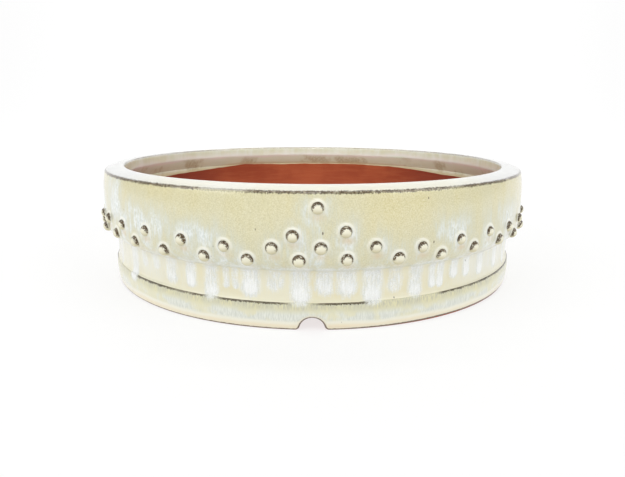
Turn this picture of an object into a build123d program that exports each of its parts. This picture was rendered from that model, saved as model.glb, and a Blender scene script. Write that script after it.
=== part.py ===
from build123d import *
import os
from math import cos, sin, sqrt

# A round, shallow bonsai pot in stoneware: a bulging drum wall under an inward-lipped rim,
# a recessed waist, a foot ring with three half-moon notches, a pierced floor, and rows of
# ball studs luted into dimples round the wall. Millimetres, +Z up. The origin is the centre
# of the ring that the pot stands on, and the front, with its notch and crest of studs, is -Y.

# ---------------------------------------------------------------- driving dimensions
belly_radius = 129.7      # widest part of the drum wall
foot_height = 13.3        # sole to ledge
waist_height = 15.3       # ledge to the underside of the drum wall
drum_height = 24.0        # drum wall, up to the joint with the rim
lip_height = 12.4         # joint to the outer arris of the rim
crown_rise = 1.6          # crest of the rim above its outer arris

# ---------------------------------------------------------------- walls and insets
drum_wall = 8.5           # thickness of the drum wall at the belly
mouth_inset = 12.8        # belly to the inner face of the rim
rim_inset = 1.9           # belly to the outer arris of the rim
brow_radius = 8.4         # rounding at the bottom of the drum wall, in section
brow_height = 7.4         # how far up that rounding reaches
belly_curve = 600.0       # radius of the drum wall's bulge, in section
overhang = 1.8            # drum wall's underside beyond the top of the waist
waist_hollow = 0.5        # depth of the waist's concave curve
waist_inner_inset = 4.6   # inner slope of the waist, measured over its height
drum_inner_inset = 4.6    # inner slope of the drum wall, measured over its height
ledge_width = 1.2         # foot ledge beyond the bottom of the waist
foot_bulge = 0.7          # swelling of the foot's outside, in section
foot_taper = 0.6          # ledge radius less sole radius
foot_ring_width = 12.0    # width of the ring that stands on the table
sole_round = 0.9          # rounding of the foot's lower edges
ledge_round = 0.5         # rounding of the foot's upper arris
rim_round = 1.6           # rounding of the rim's outer arris
lip_face = 5.4            # upright inner face of the rim
lip_inner_round = 1.4     # rounding between that face and the crest

# ---------------------------------------------------------------- floor and its holes
floor_thickness = 8.0
floor_clear = 8.5         # underside of the floor above the table
floor_bearing = 7.0       # width of the foot ring's shelf under the floor
drain_radius = 16.0
wire_hole_radius = 2.5
wire_hole_spacing = 70.0  # square of four holes for the tie wires

# ---------------------------------------------------------------- luted joints
register_width = 2.6      # ring tongue that centres one clay ring on the next
register_height = 1.6
slip_gap = 0.1            # film of slip in a register or round the floor's edge
register_relief = 0.2     # space above a tongue, so that the flat faces bear

# ---------------------------------------------------------------- notches
notch_count = 3
notch_radius = 6.0
notch_flare = 2.2         # rounding where a notch runs out into the sole

# ---------------------------------------------------------------- studs
stud_radius = 2.8
stud_sink = 0.7           # ball's centre inside the face of the wall
studs_per_row = 36
stud_turn = 1.7           # degrees that the pattern is turned from the front notch
lower_row_rise = 6.6      # above the drum wall's underside
upper_row_rise = 12.3     # above the drum wall's underside
crest_pair_drop = 5.3     # below the joint with the rim
crest_apex_rise = 5.4     # above the joint with the rim

# ---------------------------------------------------------------- heights and radii that follow
ledge_z = foot_height
waist_top_z = ledge_z + waist_height
drum_top_z = waist_top_z + drum_height
arris_z = drum_top_z + lip_height
crest_z = arris_z + crown_rise
floor_top_z = floor_clear + floor_thickness

belly_z = waist_top_z + brow_height
brow_foot_radius = belly_radius - brow_radius + sqrt(brow_radius**2 - brow_height**2)
waist_radius = brow_foot_radius - overhang
ledge_radius = waist_radius + ledge_width
sole_radius = ledge_radius - foot_taper
foot_inner_radius = sole_radius - foot_ring_width
floor_radius = foot_inner_radius + floor_bearing

rim_radius = belly_radius - rim_inset
mouth_radius = belly_radius - mouth_inset
drum_inner_radius = belly_radius - drum_wall
drum_foot_inner_radius = drum_inner_radius - drum_inner_inset
waist_foot_inner_radius = drum_foot_inner_radius - waist_inner_inset

lower_row_z = waist_top_z + lower_row_rise
upper_row_z = waist_top_z + upper_row_rise
crest_pair_z = drum_top_z - crest_pair_drop
crest_apex_z = drum_top_z + crest_apex_rise

SECTOR_NAMES = ["front", "right", "left"]


def belly_face(z):
    """Outer radius of the drum wall above its brow, on the bulge's arc."""
    return belly_radius - belly_curve + sqrt(belly_curve**2 - (z - belly_z) ** 2)


def brow_face(z):
    """Outer radius of the drum wall on the rounding under the belly."""
    return belly_radius - brow_radius + sqrt(brow_radius**2 - (belly_z - z) ** 2)


def lip_arc():
    """Outside of the rim, tangent to the bulge at the joint and ending at the arris."""
    start = (belly_face(drum_top_z), drum_top_z)
    lean = (drum_top_z - belly_z) / belly_curve
    tangent = (-sin(lean), cos(lean))
    return TangentArc(start, (rim_radius, arris_z), tangent=tangent)


def lip_face_radius(z):
    """Outer radius of the rim at a height, found on its arc."""
    level = Edge.make_line((mouth_radius, z), (belly_radius + drum_wall, z))
    return (lip_arc().edge() & level).vertices()[0].X


def outer_face(z):
    """Outer radius of the wall at any height where a stud can sit."""
    if z > drum_top_z:
        return lip_face_radius(z)
    return belly_face(z) if z > belly_z else brow_face(z)


def turned(outline):
    """Ring or disc: a closed outline in the (radius, height) plane, revolved about Z."""
    return revolve(Plane.XZ * make_face(outline), Axis.Z)


def tongue(mid_radius, z, grown=0.0):
    """Raised ring at a flat joint, grown on its sides and top to make its groove."""
    height = register_height + (register_relief if grown else 0.0)
    outer = mid_radius + register_width / 2 + grown
    inner = mid_radius - register_width / 2 - grown
    ring = Cylinder(outer, height, align=(Align.CENTER, Align.CENTER, Align.MIN))
    ring -= Cylinder(inner, height, align=(Align.CENTER, Align.CENTER, Align.MIN))
    return Pos(0, 0, z) * ring


def at_azimuth(degrees):
    """Turn about Z from the front, -Y, towards +X."""
    return Rot(0, 0, degrees)


# ---------------------------------------------------------------- studs
def balls(z, angles, radius):
    """Clay balls at one height, each sunk into the wall's face with its poles radial."""
    ball = Pos(0, stud_sink - outer_face(z), z) * Rot(90, 0, 0) * Sphere(radius)
    return [at_azimuth(a) * ball for a in angles]


def row_angles(offset):
    """A third of a row at a time: one list of angles for each sector."""
    step = 360 / studs_per_row
    share = studs_per_row // notch_count
    first = -(share // 2)
    return [
        [stud_turn + (k + first + sector * share + offset) * step for k in range(share)]
        for sector in range(notch_count)
    ]


def crest_angles():
    """For each sector, the pair over the upper row and the one apex stud."""
    step = 360 / studs_per_row
    centres = [stud_turn + sector * 360 / notch_count for sector in range(notch_count)]
    return [([c - step / 2, c + step / 2], [c]) for c in centres]


def stud_groups(radius):
    """Every group of studs by node name, at the given ball radius."""
    groups = {}
    for name, lower, upper, (pair, apex) in zip(
        SECTOR_NAMES, row_angles(0.5), row_angles(0.0), crest_angles()
    ):
        groups[f"lower_studs_{name}"] = balls(lower_row_z, lower, radius)
        groups[f"upper_studs_{name}"] = balls(upper_row_z, upper, radius)
        groups[f"crest_pair_{name}"] = balls(crest_pair_z, pair, radius)
        groups[f"crest_apex_{name}"] = balls(crest_apex_z, apex, radius)
    return groups


# ---------------------------------------------------------------- clay rings and floor
waist_joint_radius = (drum_foot_inner_radius + waist_radius) / 2
rim_joint_radius = (drum_inner_radius + belly_face(drum_top_z)) / 2


def make_rim_lip():
    """Thick rim with a sloping crown and an inward lip over the drum wall."""
    crest_radius = mouth_radius + lip_inner_round
    face_top_z = crest_z - lip_inner_round
    face_foot_z = face_top_z - lip_face
    outline = [
        lip_arc(),
        ThreePointArc(
            (rim_radius, arris_z),
            ((rim_radius + crest_radius) / 2, (arris_z + crest_z) / 2 + crown_rise / 4),
            (crest_radius, crest_z),
        ),
        RadiusArc((crest_radius, crest_z), (mouth_radius, face_top_z), -lip_inner_round),
        Line((mouth_radius, face_top_z), (mouth_radius, face_foot_z)),
        Line((mouth_radius, face_foot_z), (drum_inner_radius, drum_top_z)),
        Line((drum_inner_radius, drum_top_z), (belly_face(drum_top_z), drum_top_z)),
    ]
    ring = turned(outline)
    arris = ring.edges().filter_by(GeomType.CIRCLE).filter_by(
        lambda e: abs(e.radius - rim_radius) < 1e-3 and abs(e.center().Z - arris_z) < 1e-3
    )
    ring = fillet(arris, rim_round)
    return ring - tongue(rim_joint_radius, drum_top_z, slip_gap)


def make_drum_wall():
    """Bulging wall ring that carries the studs."""
    outline = [
        RadiusArc(
            (brow_foot_radius, waist_top_z), (belly_radius, belly_z), -brow_radius
        ),
        RadiusArc(
            (belly_radius, belly_z), (belly_face(drum_top_z), drum_top_z), -belly_curve
        ),
        Line((belly_face(drum_top_z), drum_top_z), (drum_inner_radius, drum_top_z)),
        TangentArc(
            (drum_inner_radius, drum_top_z), (drum_foot_inner_radius, waist_top_z), tangent=(0, -1)
        ),
        Line((drum_foot_inner_radius, waist_top_z), (brow_foot_radius, waist_top_z)),
    ]
    ring = turned(outline) + tongue(rim_joint_radius, drum_top_z)
    return ring - tongue(waist_joint_radius, waist_top_z, slip_gap)


def make_waist_band():
    """Recessed ring between drum wall and foot, stepped over the floor's edge."""
    seat_radius = floor_radius + slip_gap
    outline = [
        Line((seat_radius, ledge_z), (waist_radius, ledge_z)),
        ThreePointArc(
            (waist_radius, ledge_z),
            (waist_radius - waist_hollow, (ledge_z + waist_top_z) / 2),
            (waist_radius, waist_top_z),
        ),
        Line((waist_radius, waist_top_z), (drum_foot_inner_radius, waist_top_z)),
        Line((drum_foot_inner_radius, waist_top_z), (waist_foot_inner_radius, floor_top_z)),
        Line((waist_foot_inner_radius, floor_top_z), (seat_radius, floor_top_z)),
        Line((seat_radius, floor_top_z), (seat_radius, ledge_z)),
    ]
    return turned(outline) + tongue(waist_joint_radius, waist_top_z)


def make_floor_slab():
    """Flat floor with the drain hole and four holes for tie wires."""
    slab = Cylinder(
        floor_radius, floor_thickness, align=(Align.CENTER, Align.CENTER, Align.MIN)
    )
    slab -= Hole(drain_radius, 2 * floor_thickness)
    wires = GridLocations(wire_hole_spacing, wire_hole_spacing, 2, 2)
    slab -= wires * Hole(wire_hole_radius, 2 * floor_thickness)
    return Pos(0, 0, floor_clear) * slab


def notch_cutter():
    """Half-moon with flared corners, run radially through the front of the foot ring."""
    reach = notch_radius + 3 * notch_flare
    below = Pos(0, -notch_flare) * Rectangle(2 * reach, 2 * notch_flare)
    shape = below + Circle(notch_radius)
    corners = shape.vertices().filter_by(
        lambda v: abs(abs(v.X) - notch_radius) < 1e-3 and abs(v.Y) < 1e-3
    )
    shape = fillet(corners, notch_flare)
    depth = foot_ring_width + ledge_width + foot_bulge
    plane = Plane((0, -sole_radius - ledge_width, 0), x_dir=(1, 0, 0), z_dir=(0, -1, 0))
    return extrude(plane * shape, -2 * depth)


def make_foot_ring():
    """Ring that the pot stands on, with its ledge, the floor's shelf and the notches."""
    seat_radius = floor_radius + slip_gap
    outline = [
        Line((foot_inner_radius, 0), (sole_radius, 0)),
        ThreePointArc(
            (sole_radius, 0),
            ((sole_radius + ledge_radius) / 2 + foot_bulge, ledge_z / 2),
            (ledge_radius, ledge_z),
        ),
        Line((ledge_radius, ledge_z), (seat_radius, ledge_z)),
        Line((seat_radius, ledge_z), (seat_radius, floor_clear)),
        Line((seat_radius, floor_clear), (foot_inner_radius, floor_clear)),
        Line((foot_inner_radius, floor_clear), (foot_inner_radius, 0)),
    ]
    ring = turned(outline)
    circles = ring.edges().filter_by(GeomType.CIRCLE)
    sole = circles.filter_by(lambda e: abs(e.center().Z) < 1e-3)
    ring = fillet(sole, sole_round)
    ledge = ring.edges().filter_by(GeomType.CIRCLE).filter_by(
        lambda e: abs(e.radius - ledge_radius) < 1e-3 and abs(e.center().Z - ledge_z) < 1e-3
    )
    ring = fillet(ledge, ledge_round)
    for k in range(notch_count):
        ring -= at_azimuth(k * 360 / notch_count) * notch_cutter()
    return ring


def main():
    os.makedirs("parts", exist_ok=True)
    groups = stud_groups(stud_radius)
    drum_balls = [b for name, g in groups.items() if "apex" not in name for b in g]
    apex_balls = [b for name, g in groups.items() if "apex" in name for b in g]
    parts = {
        "rim_lip": make_rim_lip() - apex_balls,
        "drum_wall": make_drum_wall() - drum_balls,
        "waist_band": make_waist_band(),
        "floor_slab": make_floor_slab(),
        "foot_ring": make_foot_ring(),
    }
    for name, group in groups.items():
        parts[name] = Compound(children=group) if len(group) > 1 else group[0]
    for name, shape in parts.items():
        export_step(shape, f"parts/{name}.step")


main()
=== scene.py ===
"""Glazed round bonsai pot: thrown rings, a pierced floor and ball studs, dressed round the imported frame.

Lengths inside the classes are millimetres, and every mesh is scaled to metres as it is made. Angles round the
pot are degrees from the front, -Y, towards +X.
"""

import logging
import math
import random
from dataclasses import dataclass, field
from enum import Enum
from typing import Dict, List, Optional, Sequence, Tuple

import bpy
import numpy as np
from mathutils import Euler, Matrix, Vector


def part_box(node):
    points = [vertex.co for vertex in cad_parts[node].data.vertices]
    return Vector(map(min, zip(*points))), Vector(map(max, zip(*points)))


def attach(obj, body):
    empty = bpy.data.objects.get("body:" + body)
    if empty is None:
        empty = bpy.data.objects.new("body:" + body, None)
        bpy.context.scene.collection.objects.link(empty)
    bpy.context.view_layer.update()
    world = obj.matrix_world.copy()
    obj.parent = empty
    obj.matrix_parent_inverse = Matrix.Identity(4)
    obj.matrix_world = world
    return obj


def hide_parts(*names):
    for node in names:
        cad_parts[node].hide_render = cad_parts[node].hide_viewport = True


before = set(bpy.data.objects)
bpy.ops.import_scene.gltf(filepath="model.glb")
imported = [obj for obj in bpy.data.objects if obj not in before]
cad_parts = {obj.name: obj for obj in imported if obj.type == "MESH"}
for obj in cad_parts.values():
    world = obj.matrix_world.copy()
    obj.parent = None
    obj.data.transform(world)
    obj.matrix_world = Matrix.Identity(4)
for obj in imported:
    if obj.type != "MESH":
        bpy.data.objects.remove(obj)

LOG = logging.getLogger("bonsai_pot")
MM = 0.001
FULL_TURN = 360.0
INNER_GLAZE_STOPS = 52.1
IRON = (0.09, 0.06, 0.035)
IRON_SHARE = 0.85
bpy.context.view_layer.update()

Place = Tuple[float, float, float]
Point = Tuple[float, float]
Socket = bpy.types.NodeSocket
Layers = Tuple[Socket, Socket, Socket, Optional[Socket]]


def turns_from(turns: np.ndarray, middle: float) -> np.ndarray:
    """Degrees from one angle to each of many, the short way round."""
    half = FULL_TURN / 2
    return (turns - middle + half) % FULL_TURN - half


def bell(distance: np.ndarray, middle: float, spread: float) -> np.ndarray:
    """A bell curve of a distance."""
    return np.exp(-(((distance - middle) / spread) ** 2))


def unit(values: np.ndarray) -> np.ndarray:
    """Values held between 0 and 1."""
    return np.clip(values, 0.0, 1.0)


def bare_material(name: str) -> bpy.types.Material:
    """A new material whose nodes can be set."""
    material = bpy.data.materials.new(name)
    material.use_nodes = True
    return material


def join_scene(name: str, data: bpy.types.ID) -> bpy.types.Object:
    """A new object linked to the scene."""
    made = bpy.data.objects.new(name, data)
    bpy.context.scene.collection.objects.link(made)
    return made


class Third(Enum):
    """The three alike thirds of the pot, by the turn of each one's notch from the front."""

    FRONT = 0
    RIGHT = 120
    LEFT = 240

    @property
    def label(self) -> str:
        """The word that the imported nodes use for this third."""
        return self.name.lower()


class StudRow(Enum):
    """The kinds of stud group, by the first words of their nodes."""

    LOWER = "lower_studs"
    UPPER = "upper_studs"
    PAIR = "crest_pair"
    APEX = "crest_apex"


# ------------------------------------------------------------ measures


@dataclass(frozen=True)
class PotMeasures:
    """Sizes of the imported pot, read from its nodes' boxes, in millimetres."""

    belly_radius: float
    waist_radius: float
    foot_radius: float
    floor_radius: float
    ledge_z: float
    waist_top_z: float
    joint_z: float
    crest_z: float
    floor_under_z: float
    floor_top_z: float

    @property
    def joint_radius(self) -> float:
        """Radius at which the drum wall meets the rim."""
        return self.belly_radius - 0.23

    @classmethod
    def from_frame(cls) -> "PotMeasures":
        """Read every size from the frame.

        Returns:
            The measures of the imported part.
        """
        drum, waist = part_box("drum_wall"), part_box("waist_band")
        foot, slab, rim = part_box("foot_ring"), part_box("floor_slab"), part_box("rim_lip")
        return cls(
            belly_radius=drum[1][0] / MM,
            waist_radius=waist[1][0] / MM,
            foot_radius=foot[1][0] / MM,
            floor_radius=slab[1][0] / MM,
            ledge_z=foot[1][2] / MM,
            waist_top_z=drum[0][2] / MM,
            joint_z=rim[0][2] / MM,
            crest_z=rim[1][2] / MM,
            floor_under_z=slab[0][2] / MM,
            floor_top_z=slab[1][2] / MM,
        )


@dataclass(frozen=True)
class StudLayout:
    """Where the ball studs sit: rows of thirty-six, with a crest of three over each notch."""

    per_row: int = 36
    row_turn: float = 2.0
    crest_turn: float = 0.9
    sink: float = 0.7
    coat: float = 0.14
    lower_strays: Tuple[Point, ...] = (
        (1.9, 0.0), (0.9, -0.4), (0.8, -1.1), (1.8, -0.8), (0.5, -0.8), (0.9, -0.6),
        (-0.7, -0.1), (0.6, -0.6), (0.4, -1.0), (-0.8, -0.3), (-0.2, -0.2), (-1.1, -0.8),
    )
    upper_strays: Tuple[Point, ...] = (
        (0.0, 0.0), (-0.5, 0.3), (-0.9, 0.6), (0.8, -0.4), (0.8, -1.2), (0.3, -0.8),
        (-0.9, -0.6), (0.8, -0.5), (0.9, -2.1), (0.7, -0.9), (0.3, -0.2), (0.0, -1.2),
    )
    pair_strays: Tuple[Point, ...] = ((0.6, -1.7), (1.1, 0.2))
    apex_strays: Tuple[Point, ...] = ((0.1, -0.2),)

    @property
    def step(self) -> float:
        """Degrees from one stud to the next along a row."""
        return FULL_TURN / self.per_row

    def first_and_count(self, row: StudRow, third: Third) -> Tuple[float, int]:
        """Angle of a group's first stud, and how many it has.

        Args:
            row: the kind of group.
            third: which third of the pot.

        Returns:
            The first angle in degrees, and the count.
        """
        share = self.per_row // len(Third)
        if row is StudRow.APEX:
            return self.crest_turn + third.value, 1
        if row is StudRow.PAIR:
            return self.crest_turn + third.value - self.step / 2, 2
        offset = 0.5 if row is StudRow.LOWER else 0.0
        return self.row_turn + third.value + (offset - share // 2) * self.step, share

    def centre_z(self, row: StudRow) -> float:
        """Height of a row's centres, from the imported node's box."""
        low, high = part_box(f"{row.value}_{Third.FRONT.label}")
        return (low[2] + high[2]) / 2 / MM

    def radius(self) -> float:
        """Radius of a stud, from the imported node's box."""
        low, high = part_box(f"{StudRow.APEX.value}_{Third.FRONT.label}")
        return (high[2] - low[2]) / 2 / MM

    def reach(self, row: StudRow, pot: PotMeasures) -> float:
        """Distance of a row's centres from the pot's axis."""
        if row is StudRow.APEX:
            low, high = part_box(f"{row.value}_{Third.FRONT.label}")
            return math.hypot(low[0] + high[0], low[1] + high[1]) / 2 / MM
        return pot.belly_radius - self.sink - 0.03

    def strays(self, row: StudRow, third: Third) -> List[Point]:
        """How far the potter's hand set each stud of a group from its even place.

        Args:
            row: the kind of group.
            third: which third of the pot.

        Returns:
            One (right, up) pair of millimetres for each stud.
        """
        if third is Third.FRONT:
            laid = (self.lower_strays, self.upper_strays, self.pair_strays, self.apex_strays)
            return list(dict(zip(StudRow, laid))[row])
        count = self.first_and_count(row, third)[1]
        chance = random.Random(third.value + count)
        return [(chance.uniform(-1.0, 1.0), chance.uniform(-1.1, 0.5)) for _ in range(count)]

    def everywhere(self) -> List[Point]:
        """Angle and height of every stud on the pot.

        Returns:
            One (degrees, millimetres) pair for each stud.
        """
        places = []
        girth = math.radians(1.0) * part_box("drum_wall")[1][0] / MM
        for row in StudRow:
            for third in Third:
                first = self.first_and_count(row, third)[0]
                for k, (right, up) in enumerate(self.strays(row, third)):
                    places.append((first + k * self.step + right / girth, self.centre_z(row) + up))
        return places


# ------------------------------------------------------------ outlines


@dataclass
class Outline:
    """A closed outline in the (radius, height) plane, walked with the clay on the right hand."""

    step: float = 0.8
    points: List[Point] = field(default_factory=list)

    def start(self, r: float, z: float) -> "Outline":
        """Put the first point down."""
        self.points.append((r, z))
        return self

    def line(self, r: float, z: float, step: Optional[float] = None) -> "Outline":
        """Walk straight to a point.

        Args:
            r: radius of the end.
            z: height of the end.
            step: longest gap between points, or None for the outline's own.

        Returns:
            The same outline, for the next leg.
        """
        r0, z0 = self.points[-1]
        n = max(1, math.ceil(math.hypot(r - r0, z - z0) / (step or self.step)))
        self.points += [(r0 + (r - r0) * k / n, z0 + (z - z0) * k / n) for k in range(1, n + 1)]
        return self

    def bow(self, r: float, z: float, sag: float, step: Optional[float] = None) -> "Outline":
        """Walk to a point on a shallow arc.

        Args:
            r: radius of the end.
            z: height of the end.
            sag: how far the arc stands off the chord, to the left hand when positive.
            step: longest gap between points, or None for the outline's own.

        Returns:
            The same outline, for the next leg.
        """
        r0, z0 = self.points[-1]
        span = math.hypot(r - r0, z - z0)
        n = max(2, math.ceil(span / (step or self.step)))
        side = (-(z - z0) / span, (r - r0) / span)
        for k in range(1, n + 1):
            t = k / n
            off = sag * 4 * t * (1 - t)
            self.points.append((r0 + (r - r0) * t + side[0] * off, z0 + (z - z0) * t + side[1] * off))
        return self

    def corner(self, via: Point, end: Point, pieces: int = 5) -> "Outline":
        """Round a corner with a curve that leaves and meets its two sides smoothly.

        Args:
            via: the sharp corner being rounded.
            end: where the curve stops.
            pieces: how many short runs make the curve.

        Returns:
            The same outline, for the next leg.
        """
        a = self.points[-1]
        for k in range(1, pieces + 1):
            t = k / pieces
            self.points.append(
                tuple((1 - t) ** 2 * a[i] + 2 * t * (1 - t) * via[i] + t * t * end[i] for i in (0, 1))
            )
        return self

    def closed(self) -> List[Point]:
        """The points with the first repeated at the end."""
        return self.points if self.points[0] == self.points[-1] else self.points + [self.points[0]]


# ------------------------------------------------------------ node helper


class NodeSheet:
    """Adds nodes to one tree and links them, a short call for each."""

    def __init__(self, tree: bpy.types.NodeTree) -> None:
        """Hold the tree that nodes are added to."""
        self.tree = tree
        self.count = 0

    def add(self, kind: str, **settings: object) -> bpy.types.Node:
        """Add a node and set its properties.

        Args:
            kind: the node's Blender type.
            settings: properties by name.

        Returns:
            The new node.
        """
        node = self.tree.nodes.new(kind)
        node.location = (180 * (self.count % 24), -240 * (self.count // 24))
        self.count += 1
        for name, value in settings.items():
            setattr(node, name, value)
        return node

    def put(self, value: object, socket: Socket) -> None:
        """Link a socket to an input, or set the input's own value."""
        if isinstance(value, bpy.types.NodeSocket):
            self.tree.links.new(value, socket)
        elif value is not None:
            if socket.type == "RGBA" and len(value) == 3:
                value = (*value, 1.0)
            socket.default_value = value

    def math(
        self, operation: str, a: object, b: object = None, c: object = None, clamp: bool = False
    ) -> Socket:
        """One Math node.

        Args:
            operation: the node's operation.
            a: first operand, a socket or a number.
            b: second operand.
            c: third operand.
            clamp: hold the result between 0 and 1.

        Returns:
            The value socket.
        """
        node = self.add("ShaderNodeMath", operation=operation, use_clamp=clamp)
        for value, socket in zip((a, b, c), node.inputs):
            self.put(value, socket)
        return node.outputs[0]

    def ramp(self, value: object, low: float, high: float, to: Point = (0.0, 1.0)) -> Socket:
        """A smooth step of a value from one level to another.

        Args:
            value: the socket read.
            low: where the step starts.
            high: where it ends.
            to: the results at the two ends.

        Returns:
            The value socket.
        """
        node = self.add("ShaderNodeMapRange", interpolation_type="SMOOTHSTEP")
        names = ("Value", "From Min", "From Max", "To Min", "To Max")
        for given, name in zip((value, low, high, *to), names):
            self.put(given, node.inputs[name])
        return node.outputs["Result"]

    def times(self, a: object, b: object, clamp: bool = False) -> Socket:
        """Product of two values."""
        return self.math("MULTIPLY", a, b, clamp=clamp)

    def plus(self, a: object, b: object, clamp: bool = False) -> Socket:
        """Sum of two values."""
        return self.math("ADD", a, b, clamp=clamp)

    def minus(self, a: object, b: object) -> Socket:
        """First value less the second."""
        return self.math("SUBTRACT", a, b)

    def rest(self, value: object, clamp: bool = False) -> Socket:
        """What a value leaves of one."""
        return self.math("SUBTRACT", 1.0, value, clamp=clamp)

    def line(self, value: object, slope: object, base: object) -> Socket:
        """A value times a slope, with a base added."""
        return self.math("MULTIPLY_ADD", value, slope, base)

    def length(self, a: Socket, b: Socket) -> Socket:
        """Length of the diagonal of two distances."""
        return self.math("SQRT", self.line(a, a, self.times(b, b)))

    def fall(self, value: object, low: float, high: float, top: float = 1.0) -> Socket:
        """A smooth step down to nought."""
        return self.ramp(value, low, high, (top, 0.0))

    def split(self, vector: Socket) -> bpy.types.bpy_prop_collection:
        """The three parts of a vector."""
        node = self.add("ShaderNodeSeparateXYZ")
        self.put(vector, node.inputs[0])
        return node.outputs

    def join(self, x: object, y: object, z: object) -> Socket:
        """A vector made of three parts."""
        node = self.add("ShaderNodeCombineXYZ")
        for value, socket in zip((x, y, z), node.inputs):
            self.put(value, socket)
        return node.outputs[0]

    def lay(self, tone: object, colour: object, mask: object, share: float) -> Socket:
        """A colour laid over another through a share of a mask."""
        return self.mix(self.times(mask, share), tone, colour)

    def mix(self, factor: object, a: object, b: object) -> Socket:
        """A colour mix.

        Args:
            factor: share of the second colour.
            a: first colour.
            b: second colour.

        Returns:
            The colour socket.
        """
        node = self.add("ShaderNodeMix", data_type="RGBA", clamp_factor=True)
        for value, entry in ((factor, 0), (a, 6), (b, 7)):
            self.put(value, node.inputs[entry])
        return node.outputs[2]

    def sway(self, vector: Socket, scale: float, detail: float, rough: float, reach: float) -> Socket:
        """Noise about nought, as far each way as half the reach."""
        return self.times(self.minus(self.noise(vector, scale, detail, rough), 0.5), reach)

    def noise(self, vector: Socket, scale: float, detail: float = 3.0, rough: float = 0.55) -> Socket:
        """Noise read at a vector, as a value about one half."""
        node = self.add("ShaderNodeTexNoise")
        given = {"Vector": vector, "Scale": scale, "Detail": detail, "Roughness": rough}
        for name, value in given.items():
            self.put(value, node.inputs[name])
        return node.outputs["Fac"]

    def stretched(self, vector: Socket, scale: Tuple[float, float, float], shift: float = 0.0) -> Socket:
        """A vector scaled along each axis, and shifted to another part of a pattern."""
        node = self.add("ShaderNodeMapping", vector_type="POINT")
        self.put(vector, node.inputs["Vector"])
        node.inputs["Scale"].default_value = scale
        node.inputs["Location"].default_value = (shift, shift, shift)
        return node.outputs["Vector"]

    def attribute(self, name: str) -> Socket:
        """A mesh attribute's value."""
        return self.add("ShaderNodeAttribute", attribute_name=name).outputs["Fac"]

    def group(self, tree: bpy.types.NodeTree, **values: object) -> bpy.types.Node:
        """Place a node group, with its inputs by name, spaces written as underscores."""
        node = self.add("ShaderNodeGroup", node_tree=tree)
        for name, value in values.items():
            self.put(value, node.inputs[name.replace("_", " ")])
        return node


def new_group(name: str, inputs: Sequence[str], outputs: Sequence[str]) -> Tuple[NodeSheet, Socket, Socket]:
    """Start a shader node group, whose sockets called Vector and Color are of that kind and the rest numbers.

    Args:
        name: the group's name.
        inputs: names of the inputs.
        outputs: names of the outputs.

    Returns:
        A sheet for its nodes, its input sockets and its output sockets.
    """
    tree = bpy.data.node_groups.new(name, "ShaderNodeTree")
    for side, titles in (("INPUT", inputs), ("OUTPUT", outputs)):
        for title in titles:
            kind = title if title in ("Vector", "Color") else "Float"
            tree.interface.new_socket(name=title, in_out=side, socket_type=f"NodeSocket{kind}")
    sheet = NodeSheet(tree)
    return sheet, sheet.add("NodeGroupInput").outputs, sheet.add("NodeGroupOutput").inputs


# ------------------------------------------------------------ shared effects


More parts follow.
